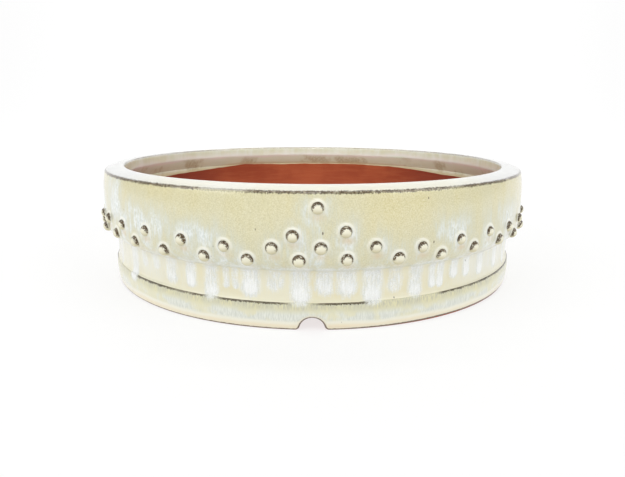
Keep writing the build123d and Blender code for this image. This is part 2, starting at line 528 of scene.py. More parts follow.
class SharedEffects:
    """Node groups that more than one finish uses, each built once."""

    def __init__(self) -> None:
        """Build every group."""
        self.space = self._pot_space()
        self.streaks = self._streaks()
        self.line = self._broken_line()
        self.specks = self._specks()
        self.clay = self._clay()
        self.run = self._white_run()
        self.inner = self._inner_glaze()
        self.wall = self._wall_glaze()

    def _pot_space(self) -> bpy.types.NodeTree:
        """Radius and height in millimetres from Object coordinates."""
        s, given, out = new_group("pot_space", ("Vector",), ("Radius", "Height"))
        where = given["Vector"]
        x, y, z = s.split(where)
        s.put(s.times(s.length(y, x), 1.0 / MM), out["Radius"])
        s.put(s.times(z, 1.0 / MM), out["Height"])
        return s.tree

    def _streaks(self) -> bpy.types.NodeTree:
        """Fine upright streaks where glaze has run, as a mask about one half."""
        s, given, out = new_group("glaze_streaks", ("Vector", "Fineness"), ("Mask", "Broad"))
        where = given["Vector"]
        fine = s.stretched(where, (1.0, 1.0, 0.10))
        grain = s.noise(fine, 1.0, 4.0, 0.62)
        s.put(given["Fineness"], grain.node.inputs["Scale"])
        broad = s.noise(s.stretched(where, (1.0, 1.0, 0.16), 3.1), 150.0, 2.0, 0.5)
        s.put(s.ramp(grain, 0.36, 0.66), out["Mask"])
        s.put(s.ramp(broad, 0.34, 0.68), out["Broad"])
        return s.tree

    def _broken_line(self) -> bpy.types.NodeTree:
        """A thin ragged line round an arris, where glaze has drawn back from the clay."""
        s, given, out = new_group(
            "broken_arris_line",
            ("Vector", "Radius", "Height", "At Radius", "At Height", "Width", "Gaps"),
            ("Mask", "Gap"),
        )
        where = given["Vector"]
        dr = s.minus(given["Radius"], given["At Radius"])
        dz = s.minus(given["Height"], given["At Height"])
        away = s.length(dr, dz)
        teeth = s.noise(s.stretched(where, (1.0, 1.0, 0.5), 5.0), 1500.0, 3.0, 0.7)
        sway = s.noise(where, 240.0, 2.0, 0.5)
        ragged = s.minus(s.line(teeth, 3.6, s.times(sway, 1.1)), 1.25)
        reach = s.times(given["Width"], ragged)
        edge = s.math("DIVIDE", away, s.math("MAXIMUM", reach, 0.01))
        gap = s.noise(s.stretched(where, (1.0, 1.0, 1.0), 2.0), 36.0, 2.0, 0.5)
        kept = s.rest(s.times(s.ramp(gap, 0.56, 0.64), given["Gaps"]))
        dashes = s.noise(s.stretched(where, (1.0, 1.0, 0.6), 8.0), 700.0, 3.0, 0.7)
        solid = s.times(s.fall(edge, 0.60, 1.05), kept)
        s.put(s.times(solid, s.ramp(dashes, 0.38, 0.50, (0.68, 1.0))), out["Mask"])
        s.put(s.rest(kept), out["Gap"])
        return s.tree

    def _specks(self) -> bpy.types.NodeTree:
        """Sparse small iron specks."""
        s, given, out = new_group("iron_specks", ("Vector", "Amount"), ("Mask",))
        where = given["Vector"]
        cells = s.add("ShaderNodeTexVoronoi", feature="F1")
        s.put(s.stretched(where, (1.0, 1.0, 0.45)), cells.inputs["Vector"])
        cells.inputs["Scale"].default_value = 240.0
        chance = s.add("ShaderNodeSeparateColor")
        s.put(cells.outputs["Color"], chance.inputs[0])
        picked = s.math("LESS_THAN", chance.outputs[0], given["Amount"])
        size = s.line(chance.outputs[1], 0.07, 0.03)
        dot = s.rest(s.math("DIVIDE", cells.outputs["Distance"], size), clamp=True)
        s.put(s.times(s.ramp(dot, 0.0, 0.35), picked), out["Mask"])
        return s.tree

    def speckled(self, s: NodeSheet, where: Socket, tone: Socket, amount: float) -> Socket:
        """A colour with iron specks over it, more of them the higher the amount."""
        specks = s.group(self.specks, Vector=where, Amount=amount).outputs["Mask"]
        return s.lay(tone, IRON, specks, IRON_SHARE)

    def _clay(self) -> bpy.types.NodeTree:
        """Unglazed red stoneware: colour, roughness and grain height, with painted shade deepening the colour
        towards left and right.
        """
        s, given, out = new_group("bare_red_clay", ("Vector",), ("Color", "Roughness", "Height"))
        where = given["Vector"]
        rings = s.noise(s.stretched(where, (0.12, 0.12, 1.0)), 420.0, 3.0, 0.55)
        cloud = s.noise(where, 30.0, 3.0, 0.55)
        sand = s.noise(where, 2600.0, 2.0, 0.6)
        tone = s.mix(s.ramp(cloud, 0.35, 0.68), (0.300, 0.050, 0.012), (0.380, 0.078, 0.022))
        tone = s.lay(tone, (0.440, 0.112, 0.038), s.ramp(rings, 0.42, 0.66), 0.30)
        tone = s.lay(tone, (0.60, 0.27, 0.15), s.ramp(sand, 0.64, 0.76), 0.30)
        # Painted shade: the clay is darkened towards left and right, away from the middle.
        painted_side_shade = s.ramp(s.math("ABSOLUTE", s.split(where)[0]), 0.060, 0.105)
        tone = s.lay(tone, (0.170, 0.018, 0.010), painted_side_shade, 0.62)
        s.put(tone, out["Color"])
        s.put(s.ramp(sand, 0.3, 0.7, (0.74, 0.88)), out["Roughness"])
        s.put(s.plus(s.times(sand, 0.35), s.times(rings, 1.2)), out["Height"])
        return s.tree

    def _inner_glaze(self) -> bpy.types.NodeTree:
        """Beige glaze inside the rim, with a pale pool and brown blotches, and where it stops."""
        s, given, out = new_group(
            "glaze_inside_the_rim",
            ("Vector", "Height", "Stops At"),
            ("Color", "Mask"),
        )
        where = given["Vector"]
        broad = s.group(self.streaks, Vector=where, Fineness=900.0).outputs["Broad"]
        level = s.plus(given["Height"], s.sway(where, 20.0, 3.0, 0.6, 9.0))
        cloud = s.ramp(s.noise(where, 60.0, 3.0, 0.6), 0.38, 0.62)
        beige = s.mix(broad, (0.770, 0.850, 0.660), (0.860, 0.950, 0.830))
        beige = s.lay(beige, (0.740, 0.760, 0.530), cloud, 0.45)
        pool = s.times(s.ramp(level, 55.0, 57.5), s.fall(level, 59.0, 63.5))
        tone = s.lay(beige, (0.930, 0.960, 0.950), pool, 0.70)
        under = s.times(s.ramp(level, 51.0, 53.5), s.fall(level, 57.5, 60.5))
        tone = s.lay(tone, (0.760, 0.930, 0.720), under, 0.75)
        blotch = s.ramp(s.noise(s.stretched(where, (1.0, 1.0, 0.8), 1.3), 38.0, 3.0, 0.6), 0.50, 0.60)
        grain = s.ramp(s.noise(where, 600.0, 3.0, 0.7), 0.35, 0.60)
        brown = s.times(s.times(s.fall(level, 56.0, 61.0), blotch), s.line(grain, 0.5, 0.5))
        tone = s.lay(tone, (0.470, 0.470, 0.270), brown, 0.70)
        drip = s.sway(where, 30.0, 3.0, 0.6, 3.0)
        droop = s.ramp(s.math("ABSOLUTE", s.split(where)[0]), 0.055, 0.105, (0.0, 2.8))
        above = s.minus(s.plus(s.plus(given["Height"], drip), droop), given["Stops At"])
        s.put(s.mix(s.fall(above, 0.2, 3.2, 0.80), tone, (0.620, 0.560, 0.320)), out["Color"])
        s.put(s.ramp(above, -0.2, 0.2), out["Mask"])
        return s.tree

    def _white_run(self) -> bpy.types.NodeTree:
        """White runs with grainy, ragged edges, whitest where they end."""
        s, given, out = new_group("white_glaze_run", ("Vector", "Cover"), ("Mask", "Color", "Height"))
        where = given["Vector"]
        streak = s.group(self.streaks, Vector=where, Fineness=1900.0).outputs
        ragged = s.noise(s.stretched(where, (1.0, 1.0, 0.30), 2.0), 800.0, 4.0, 0.7)
        grain = s.noise(where, 2300.0, 2.0, 0.7)
        level = s.plus(given["Cover"], s.times(s.minus(ragged, 0.5), 1.1))
        level = s.plus(level, s.times(s.minus(grain, 0.5), 0.7))
        mask = s.times(s.ramp(level, 0.20, 1.0), s.ramp(given["Cover"], 0.02, 0.40))
        s.put(mask, out["Mask"])
        body = s.mix(streak["Mask"], (0.740, 0.765, 0.735), (0.930, 0.945, 0.925))
        body = s.lay(body, (0.640, 0.640, 0.560), s.fall(grain, 0.38, 0.54), 0.60)
        s.put(s.lay(body, (0.960, 0.970, 0.960), s.ramp(given["Cover"], 0.85, 1.05), 0.5), out["Color"])
        s.put(s.plus(s.times(streak["Mask"], 0.5), s.times(ragged, 0.4)), out["Height"])
        return s.tree

    def _wall_glaze(self) -> bpy.types.NodeTree:
        """Cream rutile glaze of the drum wall and the rim's outside.

        Haze is pooled, bluish white glaze, and Thin is where it has run off and shows tan. Halo is glaze
        pooled round a stud, laid near white as a painted highlight.
        """
        s, given, out = new_group(
            "cream_rutile_glaze",
            ("Vector", "Haze", "Thin", "Halo"),
            ("Color", "Height"),
        )
        where = given["Vector"]
        runs = s.group(self.streaks, Vector=where, Fineness=1500.0).outputs
        warm = s.noise(where, 17.0, 2.0, 0.5)
        tone = s.mix(s.ramp(warm, 0.36, 0.64), (0.655, 0.605, 0.335), (0.685, 0.615, 0.318))
        mottle = s.noise(where, 1900.0, 3.0, 0.75)
        tone = s.lay(tone, (0.815, 0.785, 0.610), s.ramp(mottle, 0.42, 0.66), 0.65)
        tone = s.lay(tone, (0.520, 0.490, 0.330), s.fall(mottle, 0.36, 0.50), 0.50)
        tone = s.lay(tone, (0.690, 0.690, 0.580), runs["Broad"], 0.15)
        patchy = s.ramp(s.noise(s.stretched(where, (1.0, 1.0, 0.4), 7.0), 130.0, 3.0, 0.6), 0.36, 0.62)
        flecks = s.ramp(s.noise(s.stretched(where, (1.0, 1.0, 0.6), 9.0), 900.0, 3.0, 0.7), 0.42, 0.60)
        haze = s.times(given["Haze"], s.line(patchy, 0.75, 0.50))
        veil = s.times(haze, s.line(runs["Mask"], 0.55, 0.60), clamp=True)
        tone = s.mix(veil, tone, (0.620, 0.670, 0.635))
        glints = s.line(flecks, 0.60, s.times(runs["Mask"], 0.30))
        bright = s.times(s.ramp(haze, 0.35, 1.05), glints)
        tone = s.mix(bright, tone, (0.890, 0.920, 0.900))
        tan = s.times(given["Thin"], s.line(runs["Broad"], 0.5, 0.45))
        tone = s.mix(tan, tone, (0.660, 0.520, 0.310))
        # Painted highlight: a near-white ring round each stud, over glaze pooled there.
        tone = s.lay(tone, (0.970, 0.955, 0.850), given["Halo"], 0.95)
        s.put(self.speckled(s, where, tone, 0.42), out["Color"])
        s.put(s.plus(s.times(runs["Mask"], 0.3), s.times(runs["Broad"], 0.6)), out["Height"])
        return s.tree


# ------------------------------------------------------------ finishes


@dataclass(frozen=True)
class Sheen:
    """How a surface shines: numbers that hold all over it."""

    specular: float = 0.5
    coat: float = 0.35
    coat_roughness: float = 0.06
    bump: float = 0.12
    bump_distance: float = 0.00025


class PaintSheet(NodeSheet):
    """A material's sheet, with the place on the pot and the layers that several finishes share."""

    def __init__(self, tree: bpy.types.NodeTree, effects: SharedEffects) -> None:
        """Read the place on the pot.

        Args:
            tree: the material's tree.
            effects: the shared groups.
        """
        super().__init__(tree)
        self.effects = effects
        self.where = self.add("ShaderNodeTexCoord").outputs["Object"]
        space = self.group(effects.space, Vector=self.where).outputs
        self.radius, self.height = space["Radius"], space["Height"]

    def wall(self) -> bpy.types.bpy_prop_collection:
        """The wall glaze, led by the piece's own attributes."""
        marks = {name: self.attribute(name.lower()) for name in ("Haze", "Thin", "Halo")}
        return self.group(self.effects.wall, Vector=self.where, **marks).outputs

    def run(self) -> bpy.types.bpy_prop_collection:
        """The white run, as thick as the piece's own attribute says."""
        return self.group(self.effects.run, Vector=self.where, Cover=self.attribute("run")).outputs

    def lining(self) -> bpy.types.bpy_prop_collection:
        """The glaze inside the rim."""
        given = {"Vector": self.where, "Height": self.height, "Stops_At": INNER_GLAZE_STOPS}
        return self.group(self.effects.inner, **given).outputs

    def speckled(self, tone: Socket, amount: float) -> Socket:
        """A colour with iron specks over it, more of them the higher the amount."""
        return self.effects.speckled(self, self.where, tone, amount)

    def arris_line(self, arris: Point, width: float, gaps: float) -> bpy.types.bpy_prop_collection:
        """The broken line round one arris, with gaps that take up a share of it."""
        given = {"Vector": self.where, "Radius": self.radius, "Height": self.height, "Width": width}
        given.update(At_Radius=arris[0], At_Height=arris[1], Gaps=gaps)
        return self.group(self.effects.line, **given).outputs

    def over_clay(self, glazed: Socket, colour: Socket, height: Socket, roughness: float) -> Layers:
        """Lay a glaze over bare clay.

        Args:
            glazed: mask of the glazed part.
            colour: the glaze's colour.
            height: the glaze's bump height.
            roughness: the glaze's roughness.

        Returns:
            Colour, roughness, bump height and gloss mask.
        """
        clay = self.group(self.effects.clay, Vector=self.where).outputs
        tone = self.mix(glazed, clay["Color"], colour)
        bare = self.rest(glazed)
        rough = self.plus(self.times(clay["Roughness"], bare), self.times(glazed, roughness))
        relief = self.plus(self.times(clay["Height"], bare), self.times(height, glazed))
        return tone, rough, relief, glazed


@dataclass(frozen=True)
class Finish:
    """A finish that reads Object coordinates and the piece's own attributes."""

    name: str
    effects: SharedEffects
    sheen: Sheen = Sheen()

    def build(self) -> bpy.types.Material:
        """Make the material.

        Returns:
            The finished material.
        """
        material = bare_material(self.name)
        material.node_tree.nodes.clear()
        s = PaintSheet(material.node_tree, self.effects)
        colour, roughness, height, gloss = self.layers(s)
        shader = s.add("ShaderNodeBsdfPrincipled")
        bump = s.add("ShaderNodeBump")
        sheen = self.sheen
        bumps = {"Strength": sheen.bump, "Distance": sheen.bump_distance, "Height": height}
        for name, value in bumps.items():
            s.put(value, bump.inputs[name])
        shines = {
            "Base Color": colour, "Roughness": roughness, "Normal": bump.outputs["Normal"],
            "Specular IOR Level": sheen.specular, "Coat Roughness": sheen.coat_roughness,
            "Coat Weight": sheen.coat if gloss is None else s.times(gloss, sheen.coat),
        }
        for name, value in shines.items():
            s.put(value, shader.inputs[name])
        out = s.add("ShaderNodeOutputMaterial")
        s.tree.links.new(shader.outputs["BSDF"], out.inputs["Surface"])
        return material

    def layers(self, s: PaintSheet) -> Layers:
        """Colour, roughness, bump height and gloss mask of the finish."""
        raise NotImplementedError


@dataclass(frozen=True)
class DrumGlaze(Finish):
    """Cream wall outside, bare clay inside."""

    skin_radius: float = 123.4

    def layers(self, s: PaintSheet) -> Layers:
        """Colour, roughness, bump height and gloss mask."""
        wall = s.wall()
        run = s.run()
        tone = s.mix(run["Mask"], wall["Color"], run["Color"])
        # Painted shade: darker tone in the crease under the drum's brow.
        tone = s.lay(tone, (0.56, 0.52, 0.38), s.attribute("crease"), 0.22)
        outside = s.ramp(s.radius, self.skin_radius - 0.3, self.skin_radius + 0.3)
        inner = s.lining()
        glazed = s.math("MAXIMUM", outside, inner["Mask"])
        return s.over_clay(glazed, s.mix(outside, inner["Color"], tone), wall["Height"], 0.20)


@dataclass(frozen=True)
class RimGlaze(Finish):
    """Cream outside, white crown between two brown arris lines, and beige glaze pooled inside."""

    arris: Point = (127.65, 64.35)
    crest: Point = (117.25, 66.15)
    inner_radius: float = 122.6

    def layers(self, s: PaintSheet) -> Layers:
        """Colour, roughness, bump height and gloss mask."""
        wall = s.wall()
        cloudy = s.ramp(s.noise(s.where, 28.0, 3.0, 0.55), 0.40, 0.62)
        # Painted shade: the crown turns greyer and a little darker towards left and right, mixed with random
        # clouds.
        sides = s.ramp(s.math("ABSOLUTE", s.split(s.where)[0]), 0.060, 0.100)
        patch = s.plus(s.times(cloudy, 0.3), sides, clamp=True)
        pale = s.mix(patch, (0.775, 0.750, 0.620), (0.730, 0.735, 0.720))
        crown = s.ramp(s.height, self.arris[1] - 0.1, self.arris[1] + 0.35)
        tone = s.mix(crown, wall["Color"], pale)
        inwards = s.fall(s.radius, self.inner_radius - 0.5, self.inner_radius + 0.5)
        inside = s.times(inwards, s.fall(s.height, self.crest[1] - 0.9, self.crest[1] - 0.1))
        lining = s.lining()
        tone = s.mix(inside, tone, lining["Color"])
        outer = s.arris_line(self.arris, 0.84, 0.45)
        crest = s.arris_line(self.crest, 0.45, 0.5)
        # Painted highlight: the gaps in the outer arris line are laid pale, as reflections of the lamps.
        arris_gap_glint = s.times(outer["Gap"], s.times(s.ramp(s.height, 64.0, 65.0), 0.5))
        tone = s.mix(arris_gap_glint, tone, (0.84, 0.86, 0.86))
        crumb = s.noise(s.stretched(s.where, (1.0, 1.0, 0.7), 6.0), 1900.0, 2.0, 0.7)
        burnt = s.mix(s.ramp(crumb, 0.40, 0.62), (0.034, 0.021, 0.008), (0.190, 0.140, 0.075))
        tone = s.mix(s.times(outer["Mask"], s.ramp(crumb, 0.62, 0.74, (0.95, 0.45))), tone, burnt)
        tone = s.lay(tone, (0.250, 0.225, 0.150), crest["Mask"], 0.75)
        bare = s.times(inside, s.rest(lining["Mask"]))
        return s.over_clay(s.rest(bare), tone, wall["Height"], 0.17)


@dataclass(frozen=True)
class WaistGlaze(Finish):
    """Yellow cream in the gaps, with white runs over it, and bare clay inside."""

    skin_radius: float = 121.0
    ledge_z: float = 13.3

    def layers(self, s: PaintSheet) -> Layers:
        """Colour, roughness, bump height and gloss mask."""
        streak = s.group(s.effects.streaks, Vector=s.where, Fineness=1700.0).outputs
        run = s.run()
        soft = s.noise(s.where, 70.0, 2.0, 0.5)
        gap = s.mix(s.ramp(soft, 0.35, 0.65), (0.790, 0.735, 0.500), (0.815, 0.780, 0.590))
        gap = s.lay(gap, (0.780, 0.775, 0.680), streak["Mask"], 0.25)
        hazy = s.times(s.attribute("haze"), s.line(streak["Mask"], 0.5, 0.5))
        gap = s.mix(hazy, gap, (0.770, 0.780, 0.720))
        # Painted highlight: the waist is paler cream just above the ledge.
        ledge_highlight = s.fall(s.height, self.ledge_z + 0.2, self.ledge_z + 3.2, 0.55)
        gap = s.mix(ledge_highlight, gap, (0.880, 0.850, 0.660))
        tone = s.mix(run["Mask"], gap, run["Color"])
        # Painted shade: darker tone in the crease at the top of the waist.
        tone = s.lay(tone, (0.540, 0.500, 0.360), s.attribute("crease"), 0.30)
        tone = s.speckled(tone, 0.18)
        outside = s.ramp(s.radius, self.skin_radius - 0.3, self.skin_radius + 0.3)
        return s.over_clay(outside, tone, run["Height"], 0.18)


@dataclass(frozen=True)
class FootGlaze(Finish):
    """Grey cream, a bluish band and an orange edge, with bare clay under and inside."""

    ledge: Point = (124.35, 13.1)

    def layers(self, s: PaintSheet) -> Layers:
        """Colour, roughness, bump height and gloss mask."""
        streak = s.group(s.effects.streaks, Vector=s.where, Fineness=2300.0).outputs
        level = s.plus(s.height, s.sway(s.where, 40.0, 2.0, 0.5, 3.0))
        fringe = s.times(streak["Mask"], s.ramp(level, 7.5, 12.6))
        top = s.mix(streak["Broad"], (0.755, 0.720, 0.455), (0.685, 0.675, 0.490))
        top = s.mix(fringe, top, (0.520, 0.505, 0.390))
        blue = s.mix(streak["Mask"], (0.660, 0.680, 0.600), (0.820, 0.835, 0.755))
        cloud = s.ramp(s.noise(s.where, 90.0, 3.0, 0.6), 0.44, 0.60)
        blue = s.lay(blue, (0.775, 0.740, 0.500), cloud, 0.75)
        tone = s.mix(s.fall(level, 7.0, 11.0), top, blue)
        # Painted highlight: a paler cream band low on the foot, above the orange edge.
        tone = s.mix(s.fall(level, 3.6, 5.4), tone, (0.870, 0.850, 0.720))
        tone = s.mix(s.fall(level, 1.6, 4.0), tone, (0.860, 0.770, 0.560))
        tone = s.mix(s.fall(level, 0.3, 2.0, 0.8), tone, (0.800, 0.630, 0.420))
        run = s.run()
        tone = s.mix(run["Mask"], tone, run["Color"])
        line = s.arris_line(self.ledge, 0.85, 0.25)
        hidden = s.math("MAXIMUM", run["Mask"], s.attribute("bridge"))
        open_line = s.times(line["Mask"], s.rest(hidden))
        tone = s.lay(tone, (0.060, 0.042, 0.020), open_line, 0.92)
        edge = s.plus(s.attribute("lip"), s.sway(s.where, 700.0, 3.0, 0.65, 0.6))
        tone = s.mix(s.fall(edge, 0.9, 2.2, 0.75), tone, (0.830, 0.780, 0.610))
        tone = s.mix(s.fall(edge, 0.62, 1.05, 0.92), tone, (0.095, 0.055, 0.032))
        tone = s.speckled(tone, 0.35)
        glazed = s.ramp(edge, 0.02, 0.20)
        return s.over_clay(glazed, tone, streak["Mask"], 0.20)


@dataclass(frozen=True)
class StudGlaze(Finish):
    """Glaze broken to dark brown round a stud's shoulder, cream on its lower part and face, with painted
    shade darkening the face towards its underside.
    """

    def layers(self, s: PaintSheet) -> Layers:
        """Colour, roughness, bump height and gloss mask."""
        local = s.add("ShaderNodeAttribute", attribute_name="bead").outputs["Vector"]
        tone_shift = s.attribute("bead_tone")
        across, _, up = s.split(local)
        away = s.length(across, up)
        rag = s.noise(s.where, 1250.0, 4.0, 0.75)
        shift = s.times(s.minus(rag, 0.5), 1.7)
        reach = s.line(up, 0.26, s.plus(away, s.times(shift, 0.8)))
        shoulder = s.times(s.ramp(reach, 0.62, 0.74), s.ramp(away, 0.985, 1.0, (1.0, 0.3)))
        lift = s.plus(up, s.times(s.minus(tone_shift, 0.5), 0.5))
        lift = s.plus(lift, s.times(s.ramp(s.math("ABSOLUTE", across), 0.55, 0.95), 0.45))
        upper = s.ramp(s.line(shift, 0.5, lift), -0.35, 0.05)
        dark = s.times(shoulder, upper)
        flake = s.ramp(s.noise(s.stretched(s.where, (1.0, 1.0, 1.0), 4.0), 1700.0, 2.0, 0.6), 0.56, 0.62)
        dark = s.times(dark, s.rest(s.times(flake, 0.75)))
        # Painted shade: the face is darker tan low down and pale cream towards the top.
        face = s.mix(s.ramp(up, -0.9, 0.3), (0.640, 0.585, 0.380), (0.860, 0.835, 0.680))
        brown = s.mix(s.ramp(rag, 0.38, 0.62), (0.032, 0.017, 0.007), (0.120, 0.074, 0.034))
        tone = s.lay(face, brown, dark, 0.98)
        return tone, s.plus(0.12, s.times(dark, 0.15)), rag, None


@dataclass(frozen=True)
class BareClay(Finish):
    """Unglazed red stoneware all over."""

    def layers(self, s: PaintSheet) -> Layers:
        """Colour, roughness, bump height and gloss mask."""
        clay = s.group(s.effects.clay, Vector=s.where).outputs
        return clay["Color"], clay["Roughness"], clay["Height"], None


# ------------------------------------------------------------ geometry trees


class GeometryTree:
    """A Geometry Nodes tree with named inputs, run once on an object and made a plain mesh."""

    def __init__(self, name: str, inputs: Dict[str, str]) -> None:
        """Start the tree.

        Args:
            name: the tree's name.
            inputs: socket type by input name.
        """
        self.tree = bpy.data.node_groups.new(name, "GeometryNodeTree")
        face = self.tree.interface
        face.new_socket(name="Geometry", in_out="INPUT", socket_type="NodeSocketGeometry")
        self.keys = {
            title: face.new_socket(name=title, in_out="INPUT", socket_type=f"NodeSocket{kind}").identifier
            for title, kind in inputs.items()
        }
        face.new_socket(name="Geometry", in_out="OUTPUT", socket_type="NodeSocketGeometry")
        self.s = NodeSheet(self.tree)
        self.given = self.s.add("NodeGroupInput").outputs
        self.out = self.s.add("NodeGroupOutput").inputs

    def pipe(self, kind: str, stream: Optional[Socket], **values: object) -> bpy.types.Node:
        """Add a node that geometry passes through.

        Args:
            kind: the node's Blender type.
            stream: the geometry coming in, or None for a source.
            values: other inputs by name, spaces written as underscores.

        Returns:
            The new node.
        """
        node = self.s.add(kind)
        if stream is not None:
            self.s.put(stream, node.inputs[0])
        for name, value in values.items():
            self.s.put(value, node.inputs[name.replace("_", " ")])
        return node

    def start_point(self, index: Socket) -> bpy.types.bpy_prop_collection:
        """The three parts of one vertex's place in the mesh that the tree starts from."""
        sample = self.s.add("GeometryNodeSampleIndex", data_type="FLOAT_VECTOR", domain="POINT")
        here = self.s.add("GeometryNodeInputPosition").outputs[0]
        for name, value in {"Geometry": self.given["Geometry"], "Value": here, "Index": index}.items():
            self.s.put(value, sample.inputs[name])
        return self.s.split(sample.outputs[0])

    def on_circle(self, reach: Socket, turn: Socket, height: Socket) -> Socket:
        """The place at a distance from the axis, a turn from the front and a height."""
        back = self.s.times(self.s.times(reach, self.s.math("COSINE", turn)), -1.0)
        return self.s.join(self.s.times(reach, self.s.math("SINE", turn)), back, height)

    def named(self, stream: Socket, name: str, value: Socket, kind: str, domain: str) -> Socket:
        """Geometry with a value stored on it by name."""
        node = self.s.add("GeometryNodeStoreNamedAttribute", data_type=kind, domain=domain)
        for entry, given in {"Geometry": stream, "Name": name, "Value": value}.items():
            self.s.put(given, node.inputs[entry])
        return node.outputs[0]

    def finish(self, stream: Socket) -> None:
        """End the tree in Realize Instances and Set Material."""
        real = self.pipe("GeometryNodeRealizeInstances", stream).outputs[0]
        dressed = self.pipe("GeometryNodeSetMaterial", real, Material=self.given["Material"]).outputs[0]
        self.s.put(dressed, self.out[0])

    def run(self, name: str, start: bpy.types.Mesh, values: Dict[str, object]) -> bpy.types.Mesh:
        """Evaluate the tree on a start mesh.

        Args:
            name: name of the resulting mesh.
            start: the mesh that the modifier sits on.
            values: input values by name.

        Returns:
            A plain mesh in metres.
        """
        carrier = join_scene(name + "_carrier", start)
        modifier = carrier.modifiers.new("shape", "NODES")
        modifier.node_group = self.tree
        for title, value in values.items():
            modifier[self.keys[title]] = value
        graph = bpy.context.evaluated_depsgraph_get()
        graph.update()
        mesh = bpy.data.meshes.new_from_object(carrier.evaluated_get(graph))
        mesh.name = name
        carrier.modifiers.remove(modifier)
        bpy.data.objects.remove(carrier)
        return mesh


class LatheTree(GeometryTree):
    """Turns a closed outline about the pot's axis, as a wheel does, with a slight hand-made wobble."""

    SEAM = 0.000004

    def __init__(self) -> None:
        """Build the tree."""
        super().__init__(
            "wheel_thrown_ring",
            {
                "Rows": "Int",
                "Columns": "Int",
                "Crowding": "Float",
                "Wobble": "Float",
                "Seed": "Float",
                "Material": "Material",
            },
        )
        s, given = self.s, self.given
        grid = self.pipe("GeometryNodeMeshGrid", None, Size_X=1.0, Size_Y=1.0, Vertices_X=given["Rows"])
        s.put(s.plus(given["Columns"], 1.0), grid.inputs["Vertices Y"])
        across, along, _ = s.split(s.add("GeometryNodeInputPosition").outputs[0])
        row = s.math("ROUND", s.times(s.plus(across, 0.5), s.minus(given["Rows"], 1.0)))
        turn = s.times(s.plus(along, 0.5), 2 * math.pi)
        pull = s.times(s.math("SINE", s.times(turn, 3.0)), s.math("DIVIDE", given["Crowding"], 3.0))
        turn = s.minus(turn, pull)
        radius, _, height = self.start_point(row)
        place = self.on_circle(radius, turn, height)
        turned = self.pipe("GeometryNodeSetPosition", grid.outputs["Mesh"], Position=place).outputs[0]
        closed = self.pipe("GeometryNodeMergeByDistance", turned, Distance=self.SEAM).outputs[0]
        shaken = self.pipe("GeometryNodeSetPosition", closed, Offset=self._wobble()).outputs[0]
        smooth = self.pipe("GeometryNodeSetShadeSmooth", shaken, Shade_Smooth=True).outputs[0]
        self.finish(smooth)

    def _wobble(self) -> Socket:
        """A slow push along the radius that is never quite the same."""
        s, given = self.s, self.given
        noise = s.add("ShaderNodeTexNoise", noise_dimensions="4D")
        s.put(given["Seed"], noise.inputs["W"])
        noise.inputs["Scale"].default_value = 22.0
        noise.inputs["Detail"].default_value = 2.0
        push = s.times(s.minus(noise.outputs["Fac"], 0.5), given["Wobble"])
        flat = s.add("ShaderNodeVectorMath", operation="MULTIPLY")
        s.put(s.add("GeometryNodeInputPosition").outputs[0], flat.inputs[0])
        flat.inputs[1].default_value = (1.0, 1.0, 0.0)
        unit = s.add("ShaderNodeVectorMath", operation="NORMALIZE")
        s.put(flat.outputs[0], unit.inputs[0])
        away = s.add("ShaderNodeVectorMath", operation="SCALE")
        s.put(unit.outputs[0], away.inputs[0])
        s.put(push, away.inputs["Scale"])
        return away.outputs[0]


class StudTree(GeometryTree):
    """Sets ball studs along an arc of the wall, each one a little different."""

    def __init__(self) -> None:
        """Build the tree."""
        super().__init__(
            "luted_ball_studs",
            {"Count": "Int", "First Turn": "Float", "Step": "Float", "Reach": "Float", "Height": "Float",
             "Ball Radius": "Float", "Unevenness": "Float", "Seed": "Int", "Material": "Material"},
        )
        s, given = self.s, self.given
        index = s.add("GeometryNodeInputIndex").outputs[0]
        turn = s.line(given["Step"], index, given["First Turn"])
        right, _, up = self.start_point(index)
        turn = s.plus(turn, s.math("DIVIDE", right, given["Reach"]))
        place = self.on_circle(given["Reach"], turn, s.plus(given["Height"], up))
        points = self.pipe("GeometryNodePoints", None, Count=given["Count"], Position=place)
        facing = s.join(None, None, turn)
        size = s.plus(1.0, s.times(self._chance(3), given["Unevenness"]))
        turned = {"Instance": self._ball(), "Rotation": facing, "Scale": size}
        set_out = self.pipe("GeometryNodeInstanceOnPoints", points.outputs[0], **turned)
        tone = s.plus(self._chance(4), 0.5)
        self.finish(self.named(set_out.outputs[0], "bead_tone", tone, "FLOAT", "INSTANCE"))

    def _chance(self, channel: int) -> Socket:
        """A fixed random number from -0.5 to 0.5 for each stud."""
        s, given = self.s, self.given
        node = s.add("FunctionNodeRandomValue", data_type="FLOAT")
        node.inputs[2].default_value = -0.5
        node.inputs[3].default_value = 0.5
        s.put(s.plus(s.times(given["Seed"], 7.0), float(channel)), node.inputs["Seed"])
        return node.outputs[1]

    def _ball(self) -> Socket:
        """One clay ball with its pole outwards, pressed slightly out of round."""
        s, given = self.s, self.given
        ball = self.pipe(
            "GeometryNodeMeshUVSphere", None, Segments=22, Rings=14, Radius=given["Ball Radius"]
        ).outputs["Mesh"]
        faced = self.pipe("GeometryNodeTransform", ball, Rotation=(math.pi / 2, 0.0, 0.0)).outputs[0]
        local = s.add("ShaderNodeVectorMath", operation="SCALE")
        s.put(s.add("GeometryNodeInputPosition").outputs[0], local.inputs[0])
        s.put(s.math("DIVIDE", 1.0, given["Ball Radius"]), local.inputs["Scale"])
        kept = self.named(faced, "bead", local.outputs[0], "FLOAT_VECTOR", "POINT")
        return self.pipe("GeometryNodeSetShadeSmooth", kept, Shade_Smooth=True).outputs[0]


# ------------------------------------------------------------ glaze runs


@dataclass(frozen=True)
class GlazeRun:
    """One white run of glaze down the waist: its place, half width and lowest point."""

    turn: float
    half_width: float
    foot_z: float
    strength: float = 1.0


